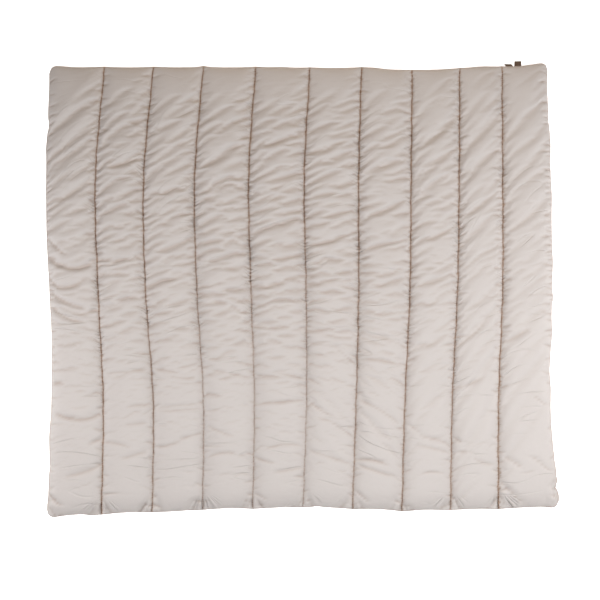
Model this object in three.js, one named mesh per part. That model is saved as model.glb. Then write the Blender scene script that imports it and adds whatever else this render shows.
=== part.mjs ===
// Camping duvet lying face up: one filled shell with ten sewn channels, and two labels in its head edge.
// Millimetres, +Z up from the ground, +X across the channels, +Y towards the head edge.
import * as THREE from 'three';

// Heights of the filled shell
const SEAM_TOP = 16;          // upper cloth where it is sewn down
const SEAM_UNDER = 10;        // under cloth at the same seam
const END_RUN = 95;           // length over which a channel's end rises from the edge to its full crown
const UNDER_RUN = 60;         // the same on the underside, where the ground flattens it
const CHANNEL_WIDTH = 220;    // usual distance from seam to seam
const CROWN_ROUND = 3.2;      // power of the crown across a channel, flatter on top as it grows
const CROWN_FULL = 0.62;      // power that makes the cloth leave the seam steeply

// Plan of the outline
const CORNER = 34;            // radius of the four corners
const EAR_REACH = 67;         // length along the edges over which a corner stands out
const EAR_SIDE = 0.4;         // share of that standing out which shows at the side edges
const END_DRAW_IN = 3;        // how far the filling draws an edge in at the middle of a channel

// Puckers across the channels
const HEAD_PITCH = 52;        // from one pucker to the next in the upper part
const FOOT_PITCH = 80;        // and in the smoother lower part
const FOOT_SHARE = 0.42;      // share of the length that counts as the lower part
const CALM_SHARE = 0.12;      // share at each end where the puckers straighten out and die away
const PUCKER_LEAST = 0.35;    // shallowest and deepest pucker, as shares of the depth given below
const PUCKER_MOST = 1.45;
const PUCKER_START = 0.62;    // share of the crown at which a pucker reaches its full depth
const FOLD_FADE = 0.15;       // share of a fold's length over which each of its ends dies away

// Sewn labels
const SEAT_GAP = 0.3;         // clear of the edge it is sewn to
const LABEL_THICK = 1.2;
const LABEL_SEAT = 13;        // height of the label's middle at the edge
const LABEL_WAVE = 0.8;       // how far its free edge waves up and down
const LABEL_STEPS = 6;        // facets each way

// Columns of points across one channel, as shares of its width, and extra ones at the two side edges
const ACROSS = [0, 0.06, 0.16, 0.38, 0.62, 0.84, 0.94];
const EDGE_EXTRA = [0.02, 0.11];
const UNDER_ACROSS = [0, 0.16, 0.84];
const END_ROWS = [0, 10, 30, 70];
const UNDER_ROWS = 10;

// The side edges and the nine seams from left to right: distance from the middle at five places down
// the length, and where each one ends at the head and the foot
const LINES = [
  { name: 'left', head: -1105, upper: -1121, mid: -1107, lower: -1098, foot: -1114, top: 972, end: -998 },
  { name: 'seam 1', head: -865, upper: -905, mid: -893, lower: -870, foot: -878, top: 972, end: -993 },
  { name: 'seam 2', head: -650, upper: -693, mid: -685, lower: -651, foot: -655, top: 972, end: -981 },
  { name: 'seam 3', head: -431, upper: -469, mid: -460, lower: -431, foot: -434, top: 972, end: -972 },
  { name: 'seam 4', head: -201, upper: -232, mid: -222, lower: -207, foot: -214, top: 972, end: -966 },
  { name: 'seam 5', head: 37, upper: 12, mid: 20, lower: 22, foot: 7, top: 969, end: -961 },
  { name: 'seam 6', head: 263, upper: 251, mid: 251, lower: 240, foot: 224, top: 970, end: -969 },
  { name: 'seam 7', head: 486, upper: 481, mid: 476, lower: 454, foot: 441, top: 958, end: -976 },
  { name: 'seam 8', head: 694, upper: 692, mid: 685, lower: 662, foot: 654, top: 966, end: -974 },
  { name: 'seam 9', head: 880, upper: 883, mid: 883, lower: 865, foot: 864, top: 973, end: -969 },
  { name: 'right', head: 1075, upper: 1094, mid: 1100, lower: 1092, foot: 1125, top: 982, end: -959 },
];

// Each channel from left to right: height of its crown, how far a pucker climbs from its left seam to
// its right one in the upper, middle and lower part, and how deep the puckers are there
const CHANNELS = [
  { crown: 38, climbUp: 125, climbMid: -15, climbLow: 15, deepUp: 3.4, deepMid: 3.2, deepLow: 1.2 },
  { crown: 40, climbUp: 120, climbMid: 35, climbLow: 15, deepUp: 3.4, deepMid: 2.4, deepLow: 1.0 },
  { crown: 39, climbUp: 125, climbMid: 45, climbLow: 10, deepUp: 3.2, deepMid: 2.4, deepLow: 0.9 },
  { crown: 41, climbUp: 110, climbMid: 35, climbLow: 5, deepUp: 3.0, deepMid: 2.4, deepLow: 0.9 },
  { crown: 40, climbUp: 105, climbMid: 30, climbLow: 0, deepUp: 3.0, deepMid: 2.4, deepLow: 0.9 },
  { crown: 38, climbUp: 100, climbMid: 20, climbLow: -25, deepUp: 3.0, deepMid: 2.2, deepLow: 1.0 },
  { crown: 40, climbUp: 100, climbMid: 20, climbLow: -45, deepUp: 2.8, deepMid: 2.0, deepLow: 1.0 },
  { crown: 39, climbUp: 90, climbMid: 30, climbLow: -40, deepUp: 2.8, deepMid: 2.0, deepLow: 0.9 },
  { crown: 38, climbUp: 90, climbMid: 55, climbLow: 35, deepUp: 2.8, deepMid: 2.0, deepLow: 1.0 },
  { crown: 40, climbUp: 90, climbMid: 65, climbLow: 55, deepUp: 3.0, deepMid: 2.2, deepLow: 1.2 },
];

// Single folds that show over the puckers: channel counted from the left, where the fold starts, bends
// and ends as a share of the channel's width and a height on the duvet, its depth and its half width
const FOLDS = [
  { channel: 1, from: [0.06, 128], bend: [0.42, 78], to: [0.86, 96], deep: 5, wide: 22 },
  { channel: 1, from: [0.10, 22], bend: [0.45, 2], to: [0.80, 14], deep: 4, wide: 20 },
  { channel: 1, from: [0.12, -560], bend: [0.50, -580], to: [0.90, -548], deep: 3, wide: 24 },
  { channel: 1, from: [0.30, -822], bend: [0.60, -812], to: [0.95, -786], deep: 3, wide: 24 },
  { channel: 3, from: [0.10, 92], bend: [0.40, 118], to: [0.90, 150], deep: 3, wide: 24 },
  { channel: 6, from: [0.15, -330], bend: [0.50, -342], to: [0.95, -372], deep: 3, wide: 26 },
  { channel: 7, from: [0.10, -402], bend: [0.50, -432], to: [0.92, -468], deep: 3, wide: 26 },
  { channel: 10, from: [0.20, -640], bend: [0.60, -700], to: [0.92, -742], deep: 3, wide: 28 },
  { channel: 10, from: [0.88, -830], bend: [0.90, -880], to: [0.86, -920], deep: 4, wide: 20 },
];

// How far each corner stands out past its two edges
const EARS = { headLeft: 4, headRight: 11, footLeft: 8, footRight: 7 };

// Labels sewn into the head edge: where each starts and stops, how far it reaches out, how far it lies
// over sideways and the height of its free edge
const LABELS = [
  { name: 'label_strip', from: 898, to: 931, reach: 12, lean: -9, tip: 8 },
  { name: 'label_tab', from: 934, to: 965, reach: 25, lean: 2, tip: 3 },
];

const COLOURS = { shell: '#cdc2ba', label: '#6b5546' };

const lerp = THREE.MathUtils.lerp;
const smooth = THREE.MathUtils.smoothstep;

// Value at share t along evenly spaced stations, as a smooth curve through them all
function curveAt(values, t) {
  const last = values.length - 1;
  const place = THREE.MathUtils.clamp(t, 0, 1) * last;
  const i = Math.min(Math.floor(place), last - 1);
  const f = place - i;
  const slope = (k) => {
    if (k === 0) return values[1] - values[0];
    if (k === last) return values[last] - values[last - 1];
    return (values[k + 1] - values[k - 1]) / 2;
  };
  const a = values[i];
  const b = values[i + 1];
  const bend = (2 * f - 3) * f * f;
  return a * (1 + bend) - b * bend + slope(i) * f * (1 - f) * (1 - f) - slope(i + 1) * f * f * (1 - f);
}

// Steady pseudo-random share for a pair of counts, so that no two puckers match
function chance(a, b) {
  const wave = Math.sin(a * 12.9898 + b * 78.233) * 43758.5453;
  return wave - Math.floor(wave);
}

// Plan place of a point: channel number, share across it, share of the length from foot to head
function plan(channel, s, v) {
  const left = LINES[channel];
  const right = LINES[channel + 1];
  const lineX = (line) => curveAt([line.foot, line.lower, line.mid, line.upper, line.head], v);
  let x = lerp(lineX(left), lineX(right), s);
  const bay = END_DRAW_IN * 4 * s * (1 - s);
  let foot = lerp(left.end, right.end, s) + bay;
  let head = lerp(left.top, right.top, s) - bay;
  const onLeft = channel === 0 && s < 0.5;
  const onRight = channel === CHANNELS.length - 1 && s > 0.5;
  if (onLeft || onRight) {
    const inward = (lineX(right) - lineX(left)) * (onLeft ? s : 1 - s);
    const side = onLeft ? 'Left' : 'Right';
    const stand = 1 - smooth(inward, 0, EAR_REACH);
    foot -= EARS[`foot${side}`] * stand;
    head += EARS[`head${side}`] * stand;
    if (inward < CORNER) {
      const round = CORNER - Math.sqrt(CORNER ** 2 - (CORNER - inward) ** 2);
      foot += round;
      head -= round;
    }
    const y = lerp(foot, head, v);
    const nearFoot = 1 - smooth(y - foot, 0, EAR_REACH);
    const nearHead = 1 - smooth(head - y, 0, EAR_REACH);
    const out = EAR_SIDE * (EARS[`foot${side}`] * nearFoot + EARS[`head${side}`] * nearHead);
    x += (onLeft ? -1 : 1) * out * stand;
  }
  return { x, foot, head, y: lerp(foot, head, v) };
}

// Share of the crown reached across a channel and near its ends
function crownShare(s, fromEnd) {
  const across = (1 - Math.abs(2 * s - 1) ** CROWN_ROUND) ** CROWN_FULL;
  const rise = Math.min(fromEnd / END_RUN, 1);
  return across * Math.sqrt(1 - (1 - rise) ** 2);
}

// Depth of a single fold at a place in its channel, as a soft trough along a bent line
function foldDepth(fold, s, y) {
  const [s0, y0] = fold.from;
  const [s1, y1] = fold.bend;
  const [s2, y2] = fold.to;
  const steep = Math.abs(s2 - s0) * CHANNEL_WIDTH < Math.abs(y2 - y0);
  const along = steep ? (y - y0) / (y2 - y0) : (s - s0) / (s2 - s0);
  if (along < -FOLD_FADE || along > 1 + FOLD_FADE) return 0;
  const bent = (a, b, c) => lerp(lerp(a, b, along), lerp(b, c, along), along);
  const away = steep ? (s - bent(s0, s1, s2)) * CHANNEL_WIDTH : y - bent(y0, y1, y2);
  const fade = smooth(along, -FOLD_FADE, FOLD_FADE) * (1 - smooth(along, 1 - FOLD_FADE, 1 + FOLD_FADE));
  return fold.deep * fade * Math.exp(-((away / fold.wide) ** 2));
}

// Rows of the upper cloth from foot to head as shares of the length, with the sign of the pucker there
function upperRows() {
  const length = LINES[5].top - LINES[5].end;
  const rows = END_ROWS.map((d) => ({ v: d / length, pucker: 0 }));
  const start = END_ROWS.at(-1);
  const split = length * FOOT_SHARE;
  const lowCount = Math.round((split - start) / (FOOT_PITCH / 2));
  const highCount = Math.round((length - start - split) / (HEAD_PITCH / 2));
  for (let k = 1; k <= lowCount + highCount; k += 1) {
    const d = k <= lowCount ? lerp(start, split, k / lowCount)
      : lerp(split, length - start, (k - lowCount) / highCount);
    rows.push({ v: d / length, pucker: k % 2 ? 1 : -1 });
  }
  rows.at(-1).pucker = 0;
  END_ROWS.slice(0, -1).reverse().forEach((d) => rows.push({ v: 1 - d / length, pucker: 0 }));
  return rows;
}

// One point of the upper cloth
function upperPoint(channel, s, row, count) {
  const form = CHANNELS[channel];
  const calm = smooth(row.v, 0, CALM_SHARE) * (1 - smooth(row.v, 1 - CALM_SHARE, 1));
  const climb = curveAt([form.climbLow, form.climbLow, form.climbMid, form.climbUp, form.climbUp], row.v);
  const deep = curveAt([form.deepLow, form.deepLow, form.deepMid, form.deepUp, form.deepUp], row.v);
  const inside = s > 0 && s < 1;
  const level = plan(channel, s, row.v);
  const shift = inside ? (climb * (s - 0.5) * calm) / (level.head - level.foot) : 0;
  const { x, y, foot, head } = plan(channel, s, row.v + shift);
  const share = crownShare(s, Math.min(y - foot, head - y));
  let z = SEAM_TOP + (form.crown - SEAM_TOP) * share;
  if (inside) {
    const uneven = lerp(PUCKER_LEAST, PUCKER_MOST, chance(channel + 1, count));
    z += row.pucker * deep * calm * uneven * Math.min(share / PUCKER_START, 1);
    FOLDS.filter((fold) => fold.channel === channel + 1).forEach((fold) => {
      z -= foldDepth(fold, s, y) * share;
    });
  }
  return [x, y, z];
}

// Two neighbouring columns joined by triangles, stepping up whichever lags by the given measure
function lace(faces, near, far, measure) {
  let i = 0;
  let j = 0;
  while (i < near.length - 1 || j < far.length - 1) {
    const nearDone = i === near.length - 1;
    const farDone = j === far.length - 1;
    if (farDone || (!nearDone && measure(near, i + 1) <= measure(far, j + 1))) {
      faces.push(near[i], far[j], near[i + 1]);
      i += 1;
    } else {
      faces.push(near[i], far[j], far[j + 1]);
      j += 1;
    }
  }
}

// Columns of points over the whole width, each with its channel and share across it
function columnList() {
  const list = [];
  CHANNELS.forEach((form, channel) => {
    const shares = [...ACROSS];
    if (channel === 0) shares.push(...EDGE_EXTRA);
    if (channel === CHANNELS.length - 1) shares.push(...EDGE_EXTRA.map((share) => 1 - share), 1);
    shares.sort((a, b) => a - b).forEach((s) => list.push({ channel, s }));
  });
  return list;
}

// The filled shell: upper cloth, under cloth and the sewn edge between them
function duvetGeometry() {
  const points = [];
  const faces = [];
  const add = (point) => points.push(point) - 1;
  const rows = upperRows();
  const columns = columnList();
  const upper = columns.map((c) => rows.map((row, count) => add(upperPoint(c.channel, c.s, row, count))));
  const byHeight = (column, i) => points[column[i]][1];
  const byCount = (column, i) => i / (column.length - 1);
  const atSeam = (c) => c.s === 0 || c.s === 1;
  for (let c = 0; c + 1 < columns.length; c += 1) {
    const besideSeam = atSeam(columns[c]) || atSeam(columns[c + 1]);
    lace(faces, upper[c], upper[c + 1], besideSeam ? byHeight : byCount);
  }

  // The edge loop of the under cloth lies straight below that of the upper cloth
  const below = (number) => add([points[number][0], points[number][1], SEAM_UNDER]);
  const footEdge = upper.map((column) => below(column[0]));
  const headEdge = upper.map((column) => below(column.at(-1)));
  const sideEdge = (column, foot, head) => [foot, ...column.slice(1, -1).map(below), head];
  const leftEdge = sideEdge(upper[0], footEdge[0], headEdge[0]);
  const rightEdge = sideEdge(upper.at(-1), footEdge.at(-1), headEdge.at(-1));

  // Under cloth: flat on the ground along each channel, drawn up to the seams between
  const kept = columns.map((c, index) => ({ ...c, index }))
    .filter((c) => UNDER_ACROSS.includes(c.s) || c.s === 1);
  const under = kept.map((c) => {
    if (c.index === 0) return leftEdge;
    if (c.index === columns.length - 1) return rightEdge;
    const column = [footEdge[c.index]];
    for (let k = 0; k <= UNDER_ROWS; k += 1) {
      const whole = plan(c.channel, c.s, 0.5);
      const margin = UNDER_RUN / (whole.head - whole.foot);
      const place = plan(c.channel, c.s, lerp(margin, 1 - margin, k / UNDER_ROWS));
      column.push(add([place.x, place.y, c.s === 0 ? SEAM_UNDER : 0]));
    }
    column.push(headEdge[c.index]);
    return column;
  });
  const downward = [];
  for (let k = 0; k + 1 < kept.length; k += 1) {
    const near = under[k];
    const far = under[k + 1];
    const foot = footEdge.slice(kept[k].index, kept[k + 1].index + 1);
    const head = headEdge.slice(kept[k].index, kept[k + 1].index + 1);
    for (let p = 0; p + 1 < foot.length; p += 1) {
      downward.push(near[1], foot[p], foot[p + 1]);
      downward.push(near.at(-2), head[p + 1], head[p]);
    }
    downward.push(near[1], far[0], far[1], near.at(-2), far.at(-2), far.at(-1));
    lace(downward, near.slice(1, -1), far.slice(1, -1), byHeight);
  }
  for (let k = 0; k < downward.length; k += 3) {
    faces.push(downward[k], downward[k + 2], downward[k + 1]);
  }

  // Sewn edge all round, from the under cloth up to the upper cloth
  const turn = (list) => [...list].reverse();
  const upperLoop = [
    ...upper.map((column) => column[0]), ...upper.at(-1).slice(1),
    ...turn(upper.map((column) => column.at(-1))).slice(1), ...turn(upper[0]).slice(1, -1),
  ];
  const underLoop = [
    ...footEdge, ...rightEdge.slice(1), ...turn(headEdge).slice(1), ...turn(leftEdge).slice(1, -1),
  ];
  upperLoop.forEach((number, k) => {
    const next = (k + 1) % upperLoop.length;
    faces.push(underLoop[k], underLoop[next], upperLoop[next], underLoop[k], upperLoop[next], number);
  });
  const headLine = upper.map((column) => points[column.at(-1)]);
  return { geometry: meshGeometry(points, faces), headLine };
}

// A label: a thin woven strip that starts just clear of the head edge and sinks towards the ground
function labelGeometry(label, headLine) {
  const points = [];
  const faces = [];
  const steps = LABEL_STEPS;
  const edgeAt = (x) => {
    const k = headLine.findIndex((point, n) => n > 0 && point[0] >= x);
    const [x0, y0] = headLine[k - 1];
    const [x1, y1] = headLine[k];
    return lerp(y0, y1, (x - x0) / (x1 - x0));
  };
  const layer = (lift) => {
    const grid = [];
    for (let i = 0; i <= steps; i += 1) {
      const column = [];
      for (let j = 0; j <= steps; j += 1) {
        const t = j / steps;
        const x = lerp(label.from, label.to, i / steps);
        const wave = LABEL_WAVE * Math.sin((i / steps) * 5 + 1) * t;
        const z = lerp(LABEL_SEAT, label.tip, smooth(t, 0, 1)) + wave + lift;
        column.push(points.push([x + label.lean * t, edgeAt(x) + SEAT_GAP + label.reach * t, z]) - 1);
      }
      grid.push(column);
    }
    return grid;
  };
  const top = layer(LABEL_THICK / 2);
  const base = layer(-LABEL_THICK / 2);
  const quad = (a, b, c, d) => faces.push(a, b, c, a, c, d);
  for (let i = 0; i < steps; i += 1) {
    for (let j = 0; j < steps; j += 1) {
      quad(top[i][j], top[i + 1][j], top[i + 1][j + 1], top[i][j + 1]);
      quad(base[i][j], base[i][j + 1], base[i + 1][j + 1], base[i + 1][j]);
    }
    quad(base[i][0], base[i + 1][0], top[i + 1][0], top[i][0]);
    quad(base[i + 1][steps], base[i][steps], top[i][steps], top[i + 1][steps]);
    quad(base[0][i + 1], base[0][i], top[0][i], top[0][i + 1]);
    quad(base[steps][i], base[steps][i + 1], top[steps][i + 1], top[steps][i]);
  }
  return meshGeometry(points, faces);
}

function meshGeometry(points, faces) {
  const geometry = new THREE.BufferGeometry();
  geometry.setAttribute('position', new THREE.Float32BufferAttribute(points.flat(), 3));
  geometry.setIndex(faces);
  geometry.computeVertexNormals();
  return geometry;
}

function build() {
  const shell = new THREE.MeshStandardMaterial({ color: COLOURS.shell, roughness: 0.7, metalness: 0 });
  const woven = new THREE.MeshStandardMaterial({ color: COLOURS.label, roughness: 0.85, metalness: 0 });
  const { geometry, headLine } = duvetGeometry();
  const group = new THREE.Group();
  group.name = 'camping_duvet';
  const place = (name, shape, material) => {
    const mesh = new THREE.Mesh(shape, material);
    mesh.name = name;
    group.add(mesh);
  };
  place('duvet', geometry, shell);
  LABELS.forEach((label) => place(label.name, labelGeometry(label, headLine), woven));

  // The origin is on the ground under the middle of the whole outline
  const middle = new THREE.Box3().setFromObject(group).getCenter(new THREE.Vector3());
  group.children.forEach((mesh) => mesh.geometry.translate(-middle.x, -middle.y, 0));
  return group;
}

export default build();
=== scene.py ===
"""Camping duvet: a filled shell with ten sewn channels, its stitching and two labels, on a studio floor."""
import math
from collections import namedtuple

import bpy
import numpy as np
from bpy.props import FloatProperty, FloatVectorProperty, IntProperty, PointerProperty
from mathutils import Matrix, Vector


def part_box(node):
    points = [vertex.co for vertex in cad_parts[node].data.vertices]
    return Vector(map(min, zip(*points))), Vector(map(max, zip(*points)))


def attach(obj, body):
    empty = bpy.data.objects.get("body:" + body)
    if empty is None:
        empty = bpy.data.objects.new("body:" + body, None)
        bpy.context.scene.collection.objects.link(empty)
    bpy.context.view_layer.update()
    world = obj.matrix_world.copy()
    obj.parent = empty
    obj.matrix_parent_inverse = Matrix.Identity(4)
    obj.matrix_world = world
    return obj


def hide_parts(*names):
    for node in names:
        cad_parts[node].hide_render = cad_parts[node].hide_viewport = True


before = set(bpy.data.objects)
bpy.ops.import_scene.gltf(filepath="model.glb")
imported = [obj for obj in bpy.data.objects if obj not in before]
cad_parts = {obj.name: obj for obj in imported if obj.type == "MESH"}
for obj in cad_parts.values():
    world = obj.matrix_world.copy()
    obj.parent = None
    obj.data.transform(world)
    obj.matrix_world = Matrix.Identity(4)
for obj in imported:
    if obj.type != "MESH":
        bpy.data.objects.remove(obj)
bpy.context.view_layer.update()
SHELL_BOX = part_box("duvet")

bl_info = {
    "name": "Camping duvet",
    "version": (1, 0, 0),
    "blender": (4, 5, 0),
    "location": "View3D > Sidebar > Camping duvet",
    "description": "Builds a filled camping duvet with sewn channels, its stitching and its labels",
    "category": "Add Mesh",
}

MM = 0.001

# Filled shell: lengths in millimetres, shares and powers
SEAM_TOP = 16  # upper cloth where it is sewn down
SEAM_UNDER = 10  # under cloth at the same seam
LEAST_TOP = 14.5  # lowest that a crease presses the upper cloth
EDGE_ROLL = 1.5  # how far the sewn edge rolls out between the two cloths
END_RUN = 95  # length over which a channel's end rises from the edge to its full crown
UNDER_RUN = 60  # the same on the underside, where the ground flattens it
UNDER_SIDE = 0.16  # share of a channel's width over which the under cloth comes down from a seam
CROWN_ROUND = 3.2  # power of the crown across a channel, flatter on top as it grows
CROWN_FULL = 0.62  # power that makes the cloth leave the seam steeply
CHANNEL_WIDTH = 220  # usual distance from seam to seam

# Plan of the outline, in millimetres
CORNER = 34  # radius of the four corners
EAR_REACH = 67  # length along the edges over which a corner stands out
EAR_SIDE = 0.4  # share of that standing out which shows at the side edges
END_DRAW_IN = 3  # how far the filling draws an edge in at the middle of a channel
SIDE_STEPS = 400  # places at which a side edge is measured
END_STEPS = 60  # and a channel's end

# The side edges and the nine seams from left to right: distance from the middle at five places down the
# length, and where each one ends at the head and the foot, in millimetres
SewnLine = namedtuple("SewnLine", "name head upper mid lower foot top end")
LINES = [
    SewnLine("left", -1105, -1121, -1107, -1098, -1114, 972, -998),
    SewnLine("seam_1", -865, -905, -893, -870, -878, 972, -993),
    SewnLine("seam_2", -650, -693, -685, -651, -655, 972, -981),
    SewnLine("seam_3", -431, -469, -460, -431, -434, 972, -972),
    SewnLine("seam_4", -201, -232, -222, -207, -214, 972, -966),
    SewnLine("seam_5", 37, 12, 20, 22, 7, 969, -961),
    SewnLine("seam_6", 263, 251, 251, 240, 224, 970, -969),
    SewnLine("seam_7", 486, 481, 476, 454, 441, 958, -976),
    SewnLine("seam_8", 694, 692, 685, 662, 654, 966, -974),
    SewnLine("seam_9", 880, 883, 883, 865, 864, 973, -969),
    SewnLine("right", 1075, 1094, 1100, 1092, 1125, 982, -959),
]

# Small swings of the needle along a seam: length of a swing and how far it goes aside, in millimetres, and
# the share of a swing by which each seam is ahead of the one to its left
SWINGS = ((190, 0.9), (71, 0.6))
SWING_AHEAD = 0.37

# How far the corners stand out past their edges, in millimetres
Ears = namedtuple("Ears", "head foot")
LEFT_EARS = Ears(4, 8)
RIGHT_EARS = Ears(11, 7)

# Each channel from left to right: height of its crown in millimetres, how far its upper cloth was sewn
# askew in the upper, middle and lower part, as the climb of a pucker from seam to seam, how deep it
# puckers, and how far its puckers are smoothed out half way down
Channel = namedtuple("Channel", "crown climb_up climb_mid climb_low slack calm")
CHANNELS = [
    Channel(38, 190, 0, 15, 0.82, 0.45),
    Channel(40, 130, 45, 15, 0.9, 0.1),
    Channel(39, 135, 50, 10, 0.82, 0),
    Channel(41, 120, 40, 5, 0.88, 0),
    Channel(40, 110, 30, 0, 0.92, 0),
    Channel(38, 100, 20, -25, 0.88, 0),
    Channel(40, 105, 20, -45, 0.8, 0),
    Channel(39, 140, 60, 40, 0.72, 0),
    Channel(38, 165, 115, 90, 0.65, 0.2),
    Channel(40, 150, 110, 80, 0.58, 0.4),
]
CALM_PLACE = 0.53  # share of the length, from the foot, where they are smoothed out most
CALM_HALF = 0.12  # and how far that reaches
LAST = len(CHANNELS) - 1

# Single folds that show over the puckers: channel counted from the left, where the fold starts, bends and
# ends as a share of the channel's width and millimetres up the duvet, its depth and its half width
Fold = namedtuple("Fold", "channel start bend end deep half")
FOLDS = [
    Fold(1, (0.02, 218), (0.14, 196), (0.32, 150), 9.0, 8),
    Fold(1, (0.34, 172), (0.60, 182), (0.92, 232), 8.0, 15),
    Fold(1, (0.04, 128), (0.26, 56), (0.88, 106), 15.0, 10),
    Fold(1, (0.02, 44), (0.08, 26), (0.18, 0), 9.0, 7),
    Fold(1, (0.16, 0), (0.42, -6), (0.72, 34), 10.0, 11),
    Fold(1, (0.06, -24), (0.28, -82), (0.72, -90), 12.0, 9),
    Fold(1, (0.45, -112), (0.75, -118), (0.98, -90), 9.0, 9),
    Fold(1, (0.05, -88), (0.20, -150), (0.68, -146), 9.0, 8),
    Fold(1, (0.02, -415), (0.15, -412), (0.28, -424), 4.0, 7),
    Fold(1, (0.14, -552), (0.52, -602), (0.96, -550), 6.8, 8),
    Fold(1, (0.75, -686), (0.90, -668), (1.00, -664), 5.1, 8),
    Fold(1, (0.35, -826), (0.66, -812), (0.98, -776), 6.0, 11),
    Fold(1, (0.02, -904), (0.10, -930), (0.22, -952), 8.5, 8),
    Fold(2, (0.05, 120), (0.40, 124), (0.78, 118), 6.0, 8),
    Fold(2, (0.04, 38), (0.30, 58), (0.55, 70), 6.0, 9),
    Fold(2, (0.35, -62), (0.60, -50), (0.95, -18), 5.0, 9),
    Fold(2, (0.06, -106), (0.30, -96), (0.50, -78), 5.0, 8),
    Fold(2, (0.06, -374), (0.40, -366), (0.92, -358), 4.5, 6),
    Fold(2, (0.50, -520), (0.70, -510), (0.92, -512), 4.0, 6),
    Fold(2, (0.04, -676), (0.25, -678), (0.50, -694), 4.2, 7),
    Fold(2, (0.40, -748), (0.65, -728), (0.88, -718), 4.2, 9),
    Fold(2, (0.45, -598), (0.65, -594), (0.88, -590), 3.4, 8),
    Fold(3, (0.02, 6), (0.25, 40), (0.78, 50), 7.6, 10),
    Fold(3, (0.05, 66), (0.25, 76), (0.45, 112), 6.0, 10),
    Fold(3, (0.05, -352), (0.30, -360), (0.55, -372), 4.5, 6),
    Fold(3, (0.35, -382), (0.60, -398), (0.85, -392), 4.5, 6),
    Fold(3, (0.55, -350), (0.80, -338), (0.98, -326), 4.0, 6),
    Fold(3, (0.10, -524), (0.40, -514), (0.80, -510), 3.5, 6),
    Fold(3, (0.10, -540), (0.45, -534), (0.85, -528), 3.5, 6),
    Fold(3, (0.55, -664), (0.80, -642), (0.98, -636), 4.0, 6),
    Fold(3, (0.10, -700), (0.30, -688), (0.50, -676), 3.5, 6),
    Fold(4, (0.02, 132), (0.25, 104), (0.65, 114), 6.0, 9),
    Fold(4, (0.03, 66), (0.30, 82), (0.50, 92), 5.1, 9),
    Fold(4, (0.52, 88), (0.75, 78), (0.95, 68), 5.1, 9),
    Fold(4, (0.05, -24), (0.30, -62), (0.62, -72), 5.1, 9),
    Fold(4, (0.15, -356), (0.50, -372), (0.95, -392), 4.0, 6),
    Fold(4, (0.06, -466), (0.18, -462), (0.30, -470), 4.0, 6),
    Fold(4, (0.10, -606), (0.30, -632), (0.55, -646), 4.0, 6),
    Fold(4, (0.10, -740), (0.35, -716), (0.60, -722), 4.0, 6),
    Fold(5, (0.05, -170), (0.35, -178), (0.70, -168), 4.5, 7),
    Fold(5, (0.30, -368), (0.60, -376), (0.95, -396), 4.0, 6),
    Fold(5, (0.05, -384), (0.30, -378), (0.55, -392), 4.0, 6),
    Fold(5, (0.10, -506), (0.50, -498), (0.98, -490), 4.5, 6),
    Fold(5, (0.25, -702), (0.55, -672), (0.92, -690), 3.5, 7),
    Fold(5, (0.05, -746), (0.20, -758), (0.38, -766), 4.0, 6),
    Fold(5, (0.42, -806), (0.70, -798), (0.95, -786), 3.5, 7),
    Fold(5, (0.05, -902), (0.15, -912), (0.28, -930), 5.0, 6),
    Fold(6, (0.30, -196), (0.60, -222), (0.95, -214), 4.0, 7),
    Fold(6, (0.55, -262), (0.75, -290), (0.95, -330), 4.0, 8),
    Fold(6, (0.03, -398), (0.14, -410), (0.28, -424), 4.5, 6),
    Fold(6, (0.12, -512), (0.30, -540), (0.50, -560), 4.5, 6),
    Fold(6, (0.55, -590), (0.75, -618), (0.95, -648), 4.5, 6),
    Fold(6, (0.10, -712), (0.50, -742), (0.95, -772), 3.5, 8),
    Fold(7, (0.03, -188), (0.25, -222), (0.60, -218), 5.0, 7),
    Fold(7, (0.05, -312), (0.45, -306), (0.90, -340), 4.5, 6),
    Fold(7, (0.70, -392), (0.82, -404), (0.96, -426), 5.0, 6),
    Fold(7, (0.05, -490), (0.40, -520), (0.90, -596), 4.0, 7),
    Fold(7, (0.05, -752), (0.35, -744), (0.65, -772), 5.0, 6),
    Fold(7, (0.05, -774), (0.30, -800), (0.75, -822), 4.5, 6),
    Fold(7, (0.06, -890), (0.15, -914), (0.30, -934), 6.0, 6),
    Fold(8, (0.05, -594), (0.18, -612), (0.35, -636), 3.5, 6),
    Fold(8, (0.30, -645), (0.60, -660), (0.95, -680), 4.2, 9),
    Fold(8, (0.30, -690), (0.60, -700), (0.95, -722), 3.4, 9),
    Fold(9, (0.03, -262), (0.30, -222), (0.60, -160), 4.5, 7),
    Fold(9, (0.12, -436), (0.35, -424), (0.65, -390), 4.0, 7),
    Fold(9, (0.02, -650), (0.10, -662), (0.22, -680), 4.5, 6),
    Fold(9, (0.48, -745), (0.72, -774), (0.88, -772), 3.4, 8),
    Fold(10, (0.05, -240), (0.25, -212), (0.55, -180), 5.0, 9),
    Fold(10, (0.68, -472), (0.78, -490), (0.88, -510), 4.0, 6),
    Fold(10, (0.12, -742), (0.28, -758), (0.42, -790), 5.1, 9),
    Fold(10, (0.60, -734), (0.75, -770), (0.90, -802), 4.2, 9),
    Fold(10, (0.96, -834), (0.93, -870), (0.94, -916), 8.5, 7),
    Fold(10, (0.03, -848), (0.25, -890), (0.45, -955), 7.0, 9),
    Fold(10, (0.10, -876), (0.17, -910), (0.25, -953), 6.0, 8),
    Fold(10, (0.01, -900), (0.06, -925), (0.13, -955), 5.5, 7),
]
FOLD_FADE = 0.15  # share of a fold's length over which each of its ends fades
FOLD_LEAN = 1.5  # how much wider it is on its head side, or on the right if it is steep
FOLD_CLEAR = 0.04  # share of the channel's width over which it fades beside a seam
CREASE_ROUND = 1.6  # power of the section of a fold or crease

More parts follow.
